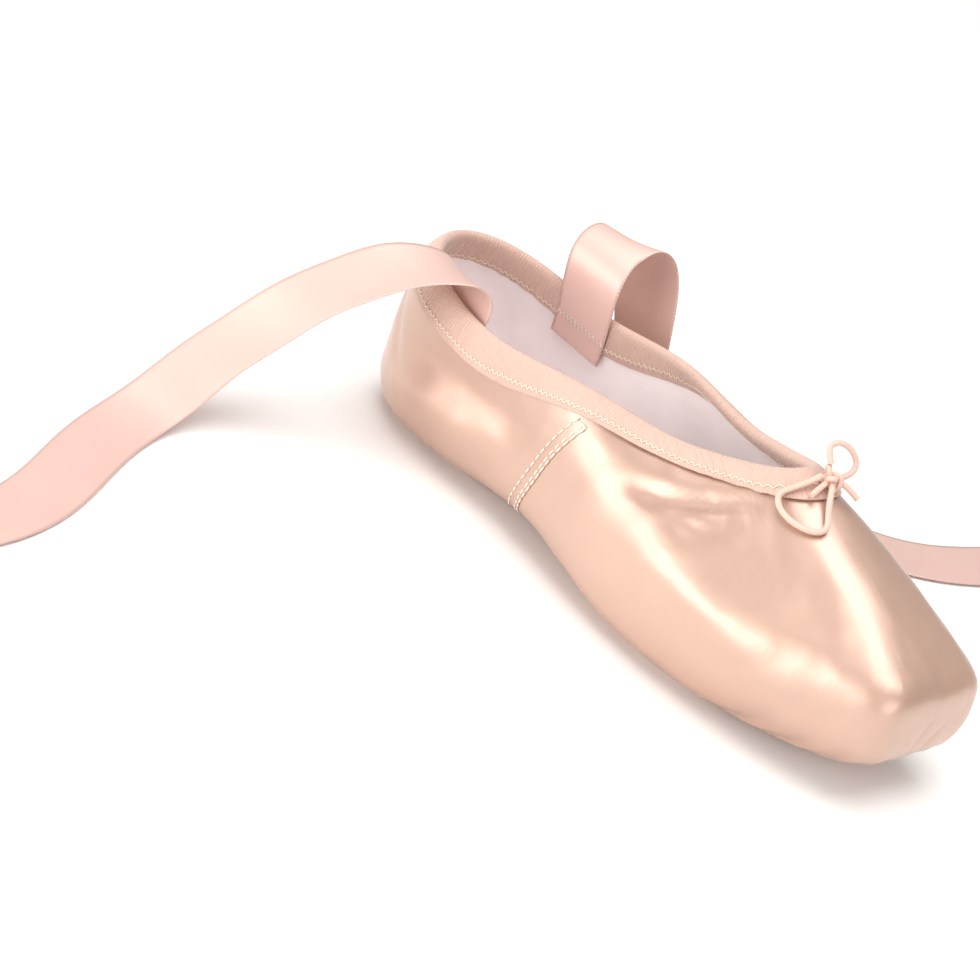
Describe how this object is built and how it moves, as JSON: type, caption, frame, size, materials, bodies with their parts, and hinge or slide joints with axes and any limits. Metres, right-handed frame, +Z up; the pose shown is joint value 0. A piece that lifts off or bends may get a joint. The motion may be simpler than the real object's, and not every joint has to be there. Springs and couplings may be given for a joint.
{
  "type": "pointe shoe",
  "caption": "Ballet pointe shoe with a hollow satin upper, flat platform, leather outsole, ribbed collar binding, drawstring bow and two ribbons.",
  "frame": {"origin": "centre of the shoe's footprint box on the floor, under the sole", "axes": "+X from heel to toe, +Y to the wearer's left, +Z up from the floor"},
  "size_m": [0.2414, 0.3676, 0.0796],
  "materials": {
    "satin": "peach satin",
    "tape": "ribbed tape",
    "leather": "smooth matt leather",
    "sock": "cotton lining",
    "ribbon": "pink satin ribbon"
  },
  "bodies": {
    "root": {"upper": "satin", "outsole": "leather", "insole": "sock", "collar_binding": "tape", "side_seam_left": "satin", "side_seam_right": "satin", "drawstring_knot": "tape", "drawstring_loop_right": "tape", "drawstring_loop_left": "tape", "drawstring_end_right": "tape", "drawstring_end_left": "tape", "ribbon_right": "ribbon", "ribbon_left": "ribbon"}
  },
  "joints": []
}
